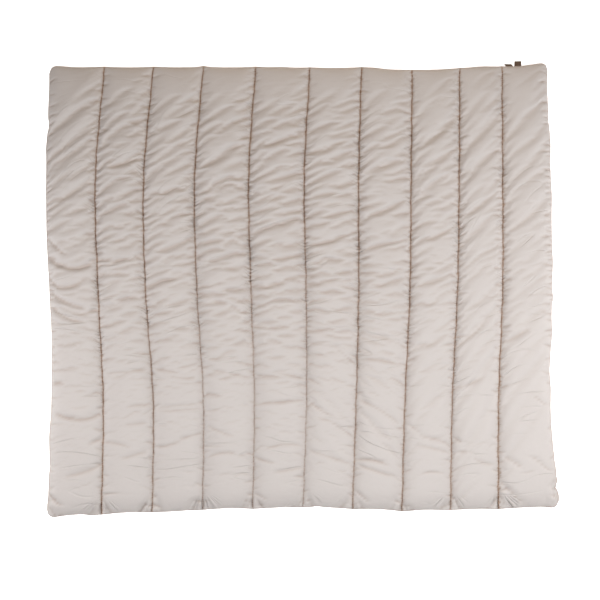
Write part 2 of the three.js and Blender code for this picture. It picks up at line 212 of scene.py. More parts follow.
# Places where the sewn edge stands out or draws in: edge, place along it, how far out, half its length
Swell = namedtuple("Swell", "edge place out half")
SWELLS = [
    Swell("left", 715, -6, 28), Swell("left", 610, 3, 40), Swell("left", 200, 3, 140),
    Swell("left", -215, -5, 150), Swell("left", -650, 6, 75), Swell("left", -785, -3, 18),
    Swell("right", 745, -3, 20), Swell("right", 640, 4, 65), Swell("right", 400, 3, 55),
    Swell("right", 110, 4, 50), Swell("right", -40, 5, 25), Swell("right", -200, 5, 60),
    Swell("right", -360, -2, 40), Swell("right", -450, 3, 45), Swell("right", -620, -2, 90),
    Swell("right", -800, 3, 30), Swell("right", -842, 5, 13), Swell("right", -870, -9, 10),
    Swell("right", -912, 4, 24),
    Swell("head", -1050, 3, 35), Swell("head", -430, 3, 20), Swell("head", -90, 3, 50),
    Swell("head", 320, 3, 40), Swell("head", 790, 6, 60), Swell("head", 1010, 5, 35),
    Swell("foot", -1060, 5, 50), Swell("foot", -920, 4, 25), Swell("foot", -570, 5, 90),
    Swell("foot", -160, 3, 80), Swell("foot", 70, -4, 25), Swell("foot", 460, 3, 60),
]
SWELL_REACH = 45  # how far in from the edge it fades

# Spare length of the upper cloth at nine places from foot to head, as a share of the seam it is sewn to,
# and at the same places the shares of its askew sewing, of its seam gathers and of its single creases
SPARE = (0.004, 0.005, 0.008, 0.025, 0.060, 0.075, 0.075, 0.050, 0.000)
ASKEW = (0.0, 0.6, 0.8, 1.0, 1.0, 1.0, 1.0, 0.9, 0.0)
GATHERED = (0.4, 0.3, 0.35, 0.7, 1.0, 1.0, 0.9, 0.7, 0.25)
CREASED = (0.6, 0.7, 0.7, 0.7, 0.7, 0.55, 0.45, 0.35, 0.15)
SHEAR_PER_CLIMB = 0.095  # share of a pucker's climb by which the cloth is cut askew
CUT_HEIGHT = 0.94  # height of the pads as cut, as a share of the sewn ones
CUT_ROUGH = 0.25  # millimetres by which the cut cloth is uneven at random
ROUGH_START = 0.05  # share of the crown above which it is
CUT_STEPS = 400  # places along a channel at which spare length and puckers are added up
CLOTH_SEED = 11

# Puckers that the cloth starts from, at the same nine places: distance from one to the next, and height
PUCKER_PITCH = (70, 70, 62, 48, 42, 44, 46, 46, 46)
PUCKER_RISE = (0.1, 0.1, 0.2, 0.7, 1.5, 1.7, 1.7, 1.3, 0.0)
PUCKER_BOW = 0.28  # how much more steeply a pucker climbs at first
PUCKER_FULL = 0.5  # share of the crown at which it has its full height
PUCKER_STRAYS = ((0.3, 240), (0.18, 90))  # how far it strays, in pitches, and over what reach

# How uneven the puckers' heights are: mean, swing, reach over which they change, least and most
Uneven = namedtuple("Uneven", "mean swing reach least most")
UNEVEN = Uneven(0.8, 0.7, 150, 0.1, 1.7)

# Waves that make up a slow random swing, and what brings their sum to about one
WANDER_WAVES = 6
WANDER_SUM = 2.4

# Creases pressed at random: ranges of their reach, half width and depth, in millimetres
Crease = namedtuple("Crease", "reach half deep")
SEAM_CREASE = Crease((16, 44), (4, 5.5), (3, 8))
FOOT_CREASE = Crease((30, 75), (5, 7.5), (2, 5.5))
LOOSE_CREASE = Crease((16, 60), (4, 5.5), (1.0, 3.5))
CREASE_START = 5  # millimetres over which a crease at a seam or the foot deepens

# Creases at a seam: where the first one is, how far from the end the last, from one to the next where the
# cloth is fully gathered, their mean slope, how far they follow the puckers, and how much they vary
SEAM_FIRST = (10, 40)
SEAM_END = 20
SEAM_PITCH = (13, 32)
SEAM_SLOPE = 0.35
SEAM_FOLLOW = 0.5
SEAM_STRAY = 0.3

# Creases at the foot: how many on each side of a channel, how close to the seam in millimetres, how far
# from it as a share of the width, and how far they lean to the seam
FOOT_CREASES = 7
FOOT_NEAR = 6
FOOT_FAR = 0.25
FOOT_LEAN = (0.15, 0.75)

# Single creases: how many in a channel, their places along and across it, the rows searched for a hollow,
# and how much their slope and bow vary
LOOSE_CREASES = 22
LOOSE_ALONG = (0.05, 0.93)
LOOSE_ACROSS = (0.12, 0.88)
LOOSE_SEARCH = 5
LOOSE_STRAY = 0.16
LOOSE_BOW = 0.3

# How plainly each seam shows at the foot, as a share of what it shows at the head, and the most
# painted shade beside it, standing for the shadow in the seam's hollow
Seam = namedtuple("Seam", "at_foot beside")
SEAMS = [
    Seam(1.00, 0.35), Seam(0.80, 0.35), Seam(0.50, 0.35), Seam(0.50, 0.45), Seam(0.45, 0.45),
    Seam(0.75, 0.55), Seam(0.90, 0.55), Seam(0.85, 0.65), Seam(1.00, 0.65),
]
SEAM_TURN = (0.2, 0.85)  # shares of the length between which a seam goes from the one to the other
SEAM_DARK = 0.6  # least painted shade on a seam
TICK_RARE = 4  # power that makes painted dark ticks of shade beside a seam rare
RIM_DARK = 0.3  # least painted shade along the edge, where the cloth rolls under
TICK_SEED = 3

# Fine gathers at the stitches: how far they reach from the seam, and their climb away from it
GATHER_REACH = 14
GATHER_CLIMB = 0.6

# Fine creases over the pads: distances from a seam between which they begin
FINE_CLEAR = (4, 20)

# Fine creases at the foot: height at which they meet on a seam, how high they reach and how far aside, the
# shares of these at which they begin to fade, how close to the meeting point they are told apart, and the
# shifts from seam to seam and side to side that make no two fans alike
FAN_APEX = 95
FAN_HIGH = 70
FAN_WIDE = 95
FAN_HIGH_FADE = 0.2
FAN_WIDE_FADE = 0.3
FAN_LEAST = 12
FAN_SEAM_SHIFT = 3.7
FAN_SIDE_SHIFT = 1.9

# Hollows in the cloth: rows on each side that a point is compared with, the depth of a full hollow, and how
# dark the painted shade in it is
HOLLOW_ROWS = 4
HOLLOW_DEEP = 3.5
HOLLOW_SHARE = 0.3

# Columns and rows of a channel while it is run as cloth, and in the finished mesh, how far its columns crowd
# to the seams, the frames of the cloth run and of its drawing in, and the farthest a point moves
CLOTH_COLUMNS = 21
CLOTH_ROWS = 301
MESH_COLUMNS = 20
MESH_ROWS = 440
UNDER_ROWS = 20
SEAM_CROWDING = 0.45
CLOTH_FRAMES = 25
DRAW_FRAMES = 10
MOST_MOVE = 16

# How much of the cloth's slow swings the filling lets it keep, and the rows that count as slow
SLOW_KEPT = 0.15
SLOW_ROWS = 41

# Labels in the head edge: where each starts and stops, its reach, its sideways lean and the height of its
# free edge, in millimetres
Label = namedtuple("Label", "name start stop reach lean tip")
LABELS = [
    Label("label_strip", 898, 931, 12, -9, 8),
    Label("label_tab", 934, 965, 25, 2, 3),
]
LABEL_SEAT = 13  # height of a label's middle at the edge
LABEL_GAP = 0.3  # clear of the edge it is sewn to
LABEL_THICK = 1.0
LABEL_WAVE = 0.8  # how far its free edge waves up and down
LABEL_TURN = 5  # radians of that wave from side to side
LABEL_STEPS = 20
HEAD_STEPS = 200  # places at which the head edge is measured

# Stitches: rings from end to end, each with its place as a share of the pitch, its girth, its height over the
# seam in millimetres and its share of the stitch's shift aside
STITCH_RINGS = (
    (-0.46, 0.2, -0.5, 0.2),
    (-0.25, 0.8, 0.45, 0.7),
    (0, 1, 0.7, 1),
    (0.25, 0.8, 0.45, 0.7),
    (0.46, 0.2, -0.5, 0.2),
)
STITCH_MARGIN = 4  # left free at each end of a seam
STITCH_STRAY = 0.8  # how far a stitch strays along the seam
STITCH_ASIDE = 1.2  # how far one usually lies aside
STITCH_FULL = (0.6, 1.2)  # range of a stitch's girth
STITCH_SEED = 5
SEAM_STEPS = 900  # places at which a seam is measured

# Stage: the picture's width in pixels and millimetres to a pixel, where the camera hangs over the duvet, and
# the floor's reach and drop, in metres
PICTURE_WIDE = 600
MM_PER_PIXEL = 4.39
CAMERA_PLACE = (-0.010, -0.051)
FLOOR_REACH = 40.0
FLOOR_DROP = 0.0005


def linear(hex_colour):
    """sRGB hex value as linear red, green and blue."""
    parts = [int(hex_colour[i:i + 2], 16) / 255 for i in (1, 3, 5)]
    return tuple(p / 12.92 if p <= 0.04045 else ((p + 0.055) / 1.055) ** 2.4 for p in parts)


def lerp(a, b, t):
    """The value a share t of the way from a to b."""
    return a + (b - a) * t


def smooth(value, low, high):
    """0 below low, 1 above high, and a smooth step between."""
    t = np.clip((value - low) / (high - low), 0, 1)
    return t * t * (3 - 2 * t)


def curve_at(values, share):
    """Smooth curve through evenly spaced stations, at a share of its length."""
    values = np.asarray(values, float)
    last = len(values) - 1
    place = np.clip(share, 0, 1) * last
    i = np.minimum(place.astype(int), last - 1)
    f = place - i
    slope = np.gradient(values)
    bend = (2 * f - 3) * f * f
    ends = values[i] * (1 + bend) - values[i + 1] * bend
    return ends + slope[i] * f * (1 - f) ** 2 - slope[i + 1] * f * f * (1 - f)


def line_x(line, v):
    """Distance of a sewn line from the middle, with the swings of the needle on a seam."""
    x = curve_at((line.foot, line.lower, line.mid, line.upper, line.head), v)
    number = LINES.index(line)
    if 0 < number < len(LINES) - 1:
        for length, aside in SWINGS:
            turn = v * (line.top - line.end) / length + SWING_AHEAD * number
            x = x + aside * np.sin(2 * math.pi * turn)
    return x


def plan(channel, s, v):
    """Plan of the shell in millimetres: x, y, and the foot and head of that column."""
    left, right = LINES[channel], LINES[channel + 1]
    x_left, x_right = line_x(left, v), line_x(right, v)
    x = lerp(x_left, x_right, s)
    bay = END_DRAW_IN * 4 * s * (1 - s)
    foot = lerp(left.end, right.end, s) + bay
    head = lerp(left.top, right.top, s) - bay
    for end, ears, inward, side in (
        (0, LEFT_EARS, (x_right - x_left) * s, -1),
        (LAST, RIGHT_EARS, (x_right - x_left) * (1 - s), 1),
    ):
        if channel != end:
            continue
        stand = 1 - smooth(inward, 0, EAR_REACH)
        within = np.clip(CORNER - inward, 0, CORNER)
        rounding = CORNER - np.sqrt(CORNER ** 2 - within ** 2)
        foot = foot - ears.foot * stand + rounding
        head = head + ears.head * stand - rounding
        y = lerp(foot, head, v)
        near_foot = 1 - smooth(y - foot, 0, EAR_REACH)
        near_head = 1 - smooth(head - y, 0, EAR_REACH)
        x = x + side * EAR_SIDE * stand * (ears.foot * near_foot + ears.head * near_head)
    return x, lerp(foot, head, v), foot, head


def crown_share(s, from_end):
    """How much of its full crown a channel has, across it and by the distance from its nearer end."""
    across = (1 - np.abs(2 * s - 1) ** CROWN_ROUND) ** CROWN_FULL
    rise = np.clip(from_end / END_RUN, 0, 1)
    return across * np.sqrt(1 - (1 - rise) ** 2)


def shell_offset():
    """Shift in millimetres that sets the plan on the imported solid."""
    v = np.linspace(0, 1, SIDE_STEPS)
    low_x = plan(0, np.zeros_like(v), v)[0].min()
    high_x = plan(LAST, np.ones_like(v), v)[0].max()
    s = np.linspace(0, 1, END_STEPS)
    feet = [plan(c, s, np.zeros_like(s))[2].min() for c in range(LAST + 1)]
    heads = [plan(c, s, np.ones_like(s))[3].max() for c in range(LAST + 1)]
    low, high = SHELL_BOX
    middle = [(low[k] + high[k]) / 2 / MM for k in (0, 1)]
    return middle[0] - (low_x + high_x) / 2, middle[1] - (min(feet) + max(heads)) / 2


OFFSET_X, OFFSET_Y = shell_offset()


def shares_across(count):
    """Shares across a channel, closer together beside the seams."""
    t = np.linspace(0, 1, count)
    return t - SEAM_CROWDING * np.sin(2 * math.pi * t) / (2 * math.pi)


def swell(channel, s, x, y, foot, head):
    """Plan places moved out or in beside the uneven edges."""
    sides = {"left": (0, -1, s), "right": (LAST, 1, 1 - s)}
    ends = {"head": (1, head - y), "foot": (-1, y - foot)}
    out_x, out_y = np.zeros_like(x), np.zeros_like(y)
    for edge, place, out, half in SWELLS:
        if edge in ends:
            way, inward = ends[edge]
            out_y += way * out * np.exp(-((x - place) / half) ** 2 - inward / SWELL_REACH)
        elif channel == sides[edge][0]:
            _, way, inward = sides[edge]
            out_x += way * out * np.exp(-((y - place) / half) ** 2 - inward * CHANNEL_WIDTH / SWELL_REACH)
    return x + out_x, y + out_y


def sewn_form(channel, s, v):
    """Upper cloth of one channel as sewn, before any pucker, in millimetres."""
    x, y, foot, head = plan(channel, s, v)
    share = crown_share(s, np.minimum(y - foot, head - y))
    x, y = swell(channel, s, x, y, foot, head)
    z = SEAM_TOP + (CHANNELS[channel].crown - SEAM_TOP) * share
    return np.stack([x + OFFSET_X, y + OFFSET_Y, z], -1), share


def wander(draws, s, y, reach):
    """Slow random swings over a channel, mostly between -1 and 1, that change over about this reach."""
    total = np.zeros_like(s)
    for _ in range(WANDER_WAVES):
        across, along = draws.normal(0, 1, 2) / reach
        turn = across * s * CHANNEL_WIDTH + along * y + draws.uniform()
        total += np.sin(2 * math.pi * turn)
    return total / WANDER_SUM


def cut_form(channel, sewn, share, s, v, draws):
    """The same cloth as it was cut: longer than its seams, and askew where it will pucker."""
    form = CHANNELS[channel]
    rise = pucker_rise(channel, s, v)
    steps = np.linspace(0, 1, CUT_STEPS + 1)
    middle_seam = LINES[len(LINES) // 2]
    length = middle_seam.top - middle_seam.end
    spare = np.concatenate([[0], np.cumsum(curve_at(SPARE, steps)[1:])]) * form.slack * length / CUT_STEPS
    spare = spare - spare[-1] / 2
    cut = sewn.copy()
    cut[..., 1] += np.interp(v, steps, spare) - SHEAR_PER_CLIMB * rise
    cut[..., 2] = SEAM_TOP + (sewn[..., 2] - SEAM_TOP) * CUT_HEIGHT
    steeper = np.hypot(1, climb_at(channel, steps) / CHANNEL_WIDTH)
    pitch = curve_at(PUCKER_PITCH, steps) * steeper
    turns = np.concatenate([[0], np.cumsum(length / CUT_STEPS / pitch[1:])])
    turn = np.interp(v - rise / length, steps, turns)
    for stray, reach in PUCKER_STRAYS:
        turn = turn + stray * wander(draws, s, v * length, reach)
    uneven = UNEVEN.mean + UNEVEN.swing * wander(draws, s, v * length, UNEVEN.reach)
    height = form.slack * curve_at(PUCKER_RISE, v) * np.clip(uneven, UNEVEN.least, UNEVEN.most)
    cut[..., 2] += height * np.cos(2 * math.pi * turn) * np.clip(share / PUCKER_FULL, 0, 1)
    cut[..., 2] += draws.normal(0, CUT_ROUGH, s.shape) * (share > ROUGH_START)
    return cut


def grid_faces(numbers):
    """Quads of a grid of vertex numbers, columns by rows, facing up when x and y grow with them."""
    a, b = numbers[:-1, :-1], numbers[1:, :-1]
    c, d = numbers[1:, 1:], numbers[:-1, 1:]
    return np.stack([a, b, c, d], -1).reshape(-1, 4)


def edge_loop(numbers):
    """Vertex numbers round such a grid, seen from above against the clock."""
    return np.concatenate([numbers[:, 0], numbers[-1, 1:], numbers[::-1, -1][1:], numbers[0, ::-1][1:-1]])


def pucker_part(moved):
    """The puckers in the cloth's movement: the filling holds the pads, so most of its slow swings go."""
    weights = np.hanning(SLOW_ROWS + 2)[1:-1]
    weights = weights / weights.sum()
    around = np.pad(moved, ((0, 0), (SLOW_ROWS // 2, SLOW_ROWS // 2), (0, 0)), "edge")
    rows = moved.shape[1]
    slow = sum(weight * around[:, k:k + rows] for k, weight in enumerate(weights))
    return moved - (1 - SLOW_KEPT) * slow


def draw_in(cuts, sewns, sizes):
    """Run Blender's Cloth on each channel's cut cloth while its sewn edges are drawn in to the seams."""
    scene = bpy.context.scene
    strips = []
    for cut, sewn in zip(cuts, sewns):
        numbers = np.arange(cut[..., 0].size).reshape(cut.shape[:2])
        mesh = bpy.data.meshes.new("cut_channel")
        mesh.from_pydata((cut * MM).reshape(-1, 3).tolist(), [], grid_faces(numbers).tolist())
        strip = bpy.data.objects.new("cut_channel", mesh)
        scene.collection.objects.link(strip)
        strip.shape_key_add(name="cut")
        key = strip.shape_key_add(name="sewn")
        key.data.foreach_set("co", (sewn * MM).astype(np.float32).ravel())
        for value, number in ((0, 1), (1, DRAW_FRAMES)):
            key.value = value
            key.keyframe_insert("value", frame=number)
        edge = np.ones_like(numbers, bool)
        edge[1:-1, 1:-1] = False
        held = strip.vertex_groups.new(name="sewn_edge")
        held.add(numbers[edge].tolist(), 1.0, "ADD")
        cloth = strip.modifiers.new("Cloth", "CLOTH")
        cloth.point_cache.frame_end = CLOTH_FRAMES
        cloth.collision_settings.use_collision = False
        settings = cloth.settings
        settings.quality = 5
        settings.mass = 0.001
        for way in ("tension", "compression", "shear"):
            setattr(settings, way + "_stiffness", 15)
            setattr(settings, way + "_damping", 0.5)
        settings.bending_stiffness = sizes.cloth_bending
        settings.bending_damping = 0.1
        settings.use_pressure = True
        settings.uniform_pressure_force = sizes.fill_pressure
        settings.vertex_group_mass = "sewn_edge"
        settings.effector_weights.gravity = 0
        strips.append(strip)
    for number in range(1, CLOTH_FRAMES + 1):
        scene.frame_set(number)
    drawn = []
    for strip, sewn in zip(strips, sewns):
        seen = strip.evaluated_get(bpy.context.evaluated_depsgraph_get()).data
        points = np.empty(sewn.size, np.float32)
        seen.vertices.foreach_get("co", points)
        moved = pucker_part(points.reshape(sewn.shape) / MM - sewn)
        drawn.append(sewn + np.clip(moved, -MOST_MOVE, MOST_MOVE))
    for strip in strips:
        mesh, keys = strip.data, strip.data.shape_keys
        action = keys.animation_data.action
        bpy.data.objects.remove(strip)
        bpy.data.meshes.remove(mesh)
        bpy.data.actions.remove(action)
    scene.frame_set(1)
    return drawn


def finer(values, old, new):
    """Values at places old, along the first axis, carried to places new by a smooth curve."""
    i = np.clip(np.searchsorted(old, new, "right") - 1, 0, len(old) - 2)
    step = old[i + 1] - old[i]
    shape = (-1,) + (1,) * (values.ndim - 1)
    f = ((new - old[i]) / step).reshape(shape)
    slope = np.gradient(values, old, axis=0)
    step = step.reshape(shape)
    bend = (2 * f - 3) * f * f
    ends = values[i] * (1 + bend) - values[i + 1] * bend
    return ends + step * (slope[i] * f * (1 - f) ** 2 - slope[i + 1] * f * f * (1 - f))


def press(points, start, way, reach, half, deep, bow=0.0, two_ended=False):
    """Press one crease into the cloth, from a place, along a bowed way, fading over its reach."""
    way = np.array(way) / np.hypot(*way)
    x, y = points[..., 0] - start[0], points[..., 1] - start[1]
    along = x * way[0] + y * way[1]
    away = np.abs(y * way[0] - x * way[1] - bow * along ** 2 / reach) / half
    fade = np.exp(-(along / reach) ** 4)
    if not two_ended:
        fade = fade * np.clip(along / CREASE_START, 0, 1)
    points[..., 2] -= deep * fade * np.exp(-away ** CREASE_ROUND)


def climb_at(channel, v):
    """How far a pucker climbs across its channel at a share of the length, in millimetres."""
    form = CHANNELS[channel]
    stations = (form.climb_low, form.climb_low, form.climb_mid, form.climb_up, form.climb_up)
    return curve_at(stations, np.asarray(v)) * curve_at(ASKEW, np.asarray(v))


def pucker_rise(channel, s, v):
    """How far a pucker has climbed at a share of its channel's width: steeply at first, then less."""
    return climb_at(channel, v) * (s - 0.5 + PUCKER_BOW * np.sin(math.pi * s))


def seam_puckers(points, channel, draws):
    """The short creases that the stitches pull into the cloth beside both seams of a channel."""
    length = np.ptp(points[0, :, 1])
    for side, column in ((1, points[0]), (-1, points[-1])):
        place = draws.uniform(*SEAM_FIRST)
        while place < length - SEAM_END:
            v = np.array(place / length)
            gathered = curve_at(GATHERED, v)
            follow = side * SEAM_FOLLOW * climb_at(channel, v) / CHANNEL_WIDTH
            slope = SEAM_SLOPE + follow + draws.normal(0, SEAM_STRAY)
            deep = draws.uniform(*SEAM_CREASE.deep) * (1 + gathered) / 2
            start = [np.interp(place, column[:, 1] - column[0, 1], column[:, k]) for k in (0, 1)]
            reach = draws.uniform(*SEAM_CREASE.reach)
            press(points, start, (side, slope), reach, draws.uniform(*SEAM_CREASE.half), deep)
            place += draws.uniform(*SEAM_PITCH) / gathered


def foot_fans(points, draws):
    """The creases that rise from the foot edge towards both seams of a channel."""
    foot = points[:, 0]
    width = np.ptp(foot[:, 0])
    for side, edge in ((1, foot[0, 0]), (-1, foot[-1, 0])):
        for _ in range(FOOT_CREASES):
            x = edge + side * draws.uniform(FOOT_NEAR, FOOT_FAR * width)
            start = (x, np.interp(x, foot[:, 0], foot[:, 1]))
            way = (-side * draws.uniform(*FOOT_LEAN), 1)
            press(points, start, way, *(draws.uniform(*span) for span in FOOT_CREASE))


def loose_creases(points, channel, draws):
    """Single creases over the whole channel, each settled in the hollow nearest to it."""
    last_column, last_row = len(points) - 1, points.shape[1] - 1
    for _ in range(LOOSE_CREASES):
        v, s = draws.uniform(*LOOSE_ALONG), draws.uniform(*LOOSE_ACROSS)
        column, row = int(s * last_column), int(v * last_row)
        first = row - LOOSE_SEARCH
        near = points[column, first:row + LOOSE_SEARCH + 1, 2]
        spot = points[column, first + int(np.argmin(near - np.linspace(near[0], near[-1], len(near))))]
        share = curve_at(CREASED, np.array(v))
        way = (1, climb_at(channel, v) / CHANNEL_WIDTH + draws.normal(0, LOOSE_STRAY))
        reach = draws.uniform(*LOOSE_CREASE.reach)
        bow, deep = draws.normal(0, LOOSE_BOW), draws.uniform(*LOOSE_CREASE.deep) * share
        press(points, spot, way, reach, draws.uniform(*LOOSE_CREASE.half), deep, bow, True)


def press_fold(points, fold, s):
    """Press a bent fold into its channel."""
    (s0, y0), (s1, y1), (s2, y2) = fold.start, fold.bend, fold.end
    s = np.broadcast_to(s[:, None], points.shape[:2])
    y = points[..., 1] - OFFSET_Y
    steep = abs(s2 - s0) * CHANNEL_WIDTH < abs(y2 - y0)
    along = (y - y0) / (y2 - y0) if steep else (s - s0) / (s2 - s0)
    bent_s = lerp(lerp(s0, s1, along), lerp(s1, s2, along), along)
    bent_y = lerp(lerp(y0, y1, along), lerp(y1, y2, along), along)
    away = (s - bent_s) * CHANNEL_WIDTH if steep else y - bent_y
    fade = smooth(along, -FOLD_FADE, FOLD_FADE) * (1 - smooth(along, 1 - FOLD_FADE, 1 + FOLD_FADE))
    seam = np.clip(np.minimum(s, 1 - s) / FOLD_CLEAR, 0, 1)
    half = fold.half * np.where(away > 0, FOLD_LEAN, 1)
    points[..., 2] -= fold.deep * fade * seam * np.exp(-np.abs(away / half) ** CREASE_ROUND)


def upper_cloth(sizes):
    """Points of the upper cloth in millimetres, columns by rows, over all the channels."""
    s_cloth, v_cloth = shares_across(CLOTH_COLUMNS), np.linspace(0, 1, CLOTH_ROWS)
    s, v = np.meshgrid(s_cloth, v_cloth, indexing="ij")
    draws = np.random.default_rng(CLOTH_SEED)
    sewns, cuts = [], []
    for channel in range(LAST + 1):
        sewn, share = sewn_form(channel, s, v)
        sewns.append(sewn)
        cuts.append(cut_form(channel, sewn, share, s, v, draws))
    drawn = draw_in(cuts, sewns, sizes)
    s_mesh, v_mesh = shares_across(MESH_COLUMNS + 1), np.linspace(0, 1, MESH_ROWS + 1)
    columns = []
    for channel, points in enumerate(drawn):
        form = CHANNELS[channel]
        calm = form.calm * np.exp(-((v - CALM_PLACE) / CALM_HALF) ** 2)
        points = lerp(sewns[channel], points, (form.slack * (1 - calm))[..., None])
        fine = finer(points, s_cloth, s_mesh)
        fine = finer(fine.swapaxes(0, 1), v_cloth, v_mesh).swapaxes(0, 1)
        for fold in FOLDS:
            if fold.channel == channel + 1:
                press_fold(fine, fold, s_mesh)
        seam_puckers(fine, channel, draws)
        foot_fans(fine, draws)
        loose_creases(fine, channel, draws)
        fine[..., 2] = np.maximum(fine[..., 2], LEAST_TOP)
        columns.append(fine if channel == LAST else fine[:-1])
    return np.concatenate(columns)


def hollows(upper):
    """How far each point of the upper cloth lies in a crease, from 0 to 1."""
    height = np.pad(upper[..., 2], ((0, 0), (HOLLOW_ROWS, HOLLOW_ROWS)), "edge")
    rows = upper.shape[1]
    around = sum(height[:, k:k + rows] for k in range(2 * HOLLOW_ROWS + 1)) / (2 * HOLLOW_ROWS + 1)
    return np.clip((around - upper[..., 2]) / HOLLOW_DEEP, 0, 1)


def fine_folds(upper):
    """Three sets of folds finer than the mesh, each as places along and across it and its strength."""
    column = np.arange(len(upper))
    channel = np.minimum(column // MESH_COLUMNS, LAST)
    s = shares_across(MESH_COLUMNS + 1)[column - channel * MESH_COLUMNS][:, None]
    v = np.linspace(0, 1, upper.shape[1])
    near = np.minimum(s, 1 - s) * CHANNEL_WIDTH
    inner = ((column >= MESH_COLUMNS // 2) & (column < len(upper) - MESH_COLUMNS // 2))[:, None]
    x, y = upper[..., 0], upper[..., 1]

    hold = inner * np.exp(-near / GATHER_REACH) * curve_at(GATHERED, v)
    gather = np.stack([(y - GATHER_CLIMB * near) * MM, x * MM, hold], -1)

    rise = np.stack([pucker_rise(c, share, v) for c, share in zip(channel, s[:, 0])])
    shown = curve_at(CREASED, v) * smooth(near, *FINE_CLEAR)
    crease = np.stack([(y - rise) * MM, x * MM, shown], -1)

    high = y - y[:, :1]
    ray = near / np.maximum(FAN_APEX - high, FAN_LEAST)
    seam = (channel + (s[:, 0] > 0.5))[:, None]
    pull = inner * (1 - smooth(high, FAN_HIGH_FADE * FAN_HIGH, FAN_HIGH))
    pull = pull * (1 - smooth(near, FAN_WIDE_FADE * FAN_WIDE, FAN_WIDE))
    shift = FAN_SEAM_SHIFT * seam + FAN_SIDE_SHIFT * (s > 0.5)
    fan = np.stack([ray, np.broadcast_to(shift, y.shape), pull], -1)
    return {"gather": gather, "crease": crease, "fan": fan}


def lace(near, far, height):
    """Triangles between two columns of vertex numbers, stepping up whichever lags."""
    faces = []
    i = j = 0
    while i < len(near) - 1 or j < len(far) - 1:
        if j == len(far) - 1 or (i < len(near) - 1 and height[near[i + 1]] <= height[far[j + 1]]):
            faces.append((near[i], far[j], near[i + 1]))
            i += 1
        else:
            faces.append((near[i], far[j], far[j + 1]))
            j += 1
    return faces


def seam_shows(seam, v):
    """How plainly a seam shows from foot to head."""
    return lerp(seam.at_foot, 1, smooth(v, *SEAM_TURN))


def darkening(upper, numbers, rim, count):
    """Painted shade on each point of the shell, how dark it is: in hollows, on and beside the seams, and
    along the edge.
    """
    rows = upper.shape[1]
    painted_shade = np.zeros(count)
    painted_shade[numbers] = HOLLOW_SHARE * hollows(upper)
    draws = np.random.default_rng(TICK_SEED)
    for number, seam in enumerate(SEAMS, 1):
        shows = seam_shows(seam, np.linspace(0, 1, rows))
        for aside in (-1, 0, 1):
            column = numbers[number * MESH_COLUMNS + aside]
            tick = draws.uniform(0, 1, rows)
            dark = tick ** TICK_RARE * seam.beside if aside else lerp(SEAM_DARK, 1, tick)
            painted_shade[column] = np.maximum(painted_shade[column], shows * dark)
    painted_shade[rim] = np.maximum(painted_shade[rim], RIM_DARK)
    return painted_shade


def shell_mesh(sizes):
    """The whole shell: upper cloth, sewn edge and under cloth, as points in millimetres and faces."""
    upper = upper_cloth(sizes)
    columns, rows = upper.shape[:2]
    points = [upper.reshape(-1, 3)]
    numbers = np.arange(columns * rows).reshape(columns, rows)
    faces = [tuple(face) for face in grid_faces(numbers).tolist()]

    # Sewn edge: rolled out between the two cloths
    loop = edge_loop(numbers)
    rim = points[0][loop]
    along = np.roll(rim, -1, 0) - np.roll(rim, 1, 0)
    outward = np.stack([along[:, 1], -along[:, 0], np.zeros(len(loop))], -1)
    outward /= np.linalg.norm(outward, axis=1, keepdims=True)
    rolled = rim + outward * EDGE_ROLL
    rolled[:, 2] = (SEAM_TOP + SEAM_UNDER) / 2
    tucked = rim.copy()
    tucked[:, 2] = SEAM_UNDER
    start = columns * rows
    rings = [loop, np.arange(start, start + len(loop)), np.arange(start + len(loop), start + 2 * len(loop))]
    points += [rolled, tucked]
    for high, low in zip(rings, rings[1:]):
        quads = np.stack([low, np.roll(low, -1), np.roll(high, -1), high], -1)
        faces += [tuple(face) for face in quads.tolist()]

    # Under cloth: flat on the ground along each channel, drawn up to the seams between
    lower = dict(zip(loop.tolist(), rings[2].tolist()))
    s_mesh = shares_across(MESH_COLUMNS + 1)
    start += 2 * len(loop)
    grid = []
    for number in range(columns):
        foot, head = lower[int(numbers[number, 0])], lower[int(numbers[number, -1])]
        if number in (0, columns - 1):
            grid.append([lower[int(n)] for n in numbers[number]])
            continue
        channel = min(number // MESH_COLUMNS, LAST)
        s = s_mesh[number - channel * MESH_COLUMNS]
        whole = plan(channel, s, np.array(0.5))
        margin = UNDER_RUN / (whole[3] - whole[2]) / 3
        v = np.concatenate([[margin, 2 * margin], np.linspace(3 * margin, 1 - 3 * margin, UNDER_ROWS - 3),
                            [1 - 2 * margin, 1 - margin]])
        x, y, base, top = plan(channel, np.full_like(v, s), v)
        flat = smooth(min(s, 1 - s), 0, UNDER_SIDE) * smooth(np.minimum(y - base, top - y), 0, UNDER_RUN)
        points.append(np.stack([x + OFFSET_X, y + OFFSET_Y, SEAM_UNDER * (1 - flat)], -1))
        grid.append([foot, *range(start, start + len(v)), head])
        start += len(v)
    inner = grid_faces(np.array(grid[1:-1]))[:, ::-1]
    faces += [tuple(face) for face in inner.tolist()]
    points = np.concatenate(points)
    for near, far in ((grid[0], grid[1]), (grid[-2], grid[-1])):
        faces += [face[::-1] for face in lace(near, far, points[:, 1])]
    # Painted shade for the hollows, the seams and the edge, kept for the cloth's colour
    painted_shade = darkening(upper, numbers, np.concatenate(rings[:2]), len(points))
    folds = {}
    for name, marks in fine_folds(upper).items():
        folds[name] = np.zeros((len(points), 3))
        folds[name][numbers] = marks
    return points, faces, painted_shade, folds


def add_piece(name, points, faces, material):
    """A mesh piece in the frame, smooth shaded, riding on the duvet."""
    mesh = bpy.data.meshes.new(name)
    mesh.from_pydata((np.asarray(points) * MM).tolist(), [], faces)
    mesh.shade_smooth()
    mesh.materials.append(material)
    piece = bpy.data.objects.new(name, mesh)
    bpy.context.scene.collection.objects.link(piece)
    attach(piece, "root")
    return piece


def add_node(tree, kind, values=None, links=None, **settings):
    """A node with its settings, its socket values and the links into it."""
    node = tree.nodes.new(kind)
    for name, value in settings.items():
        setattr(node, name, value)
    for socket, value in (values or {}).items():
        node.inputs[socket].default_value = value
    for socket, source in (links or {}).items():
        tree.links.new(source, node.inputs[socket])
    return node


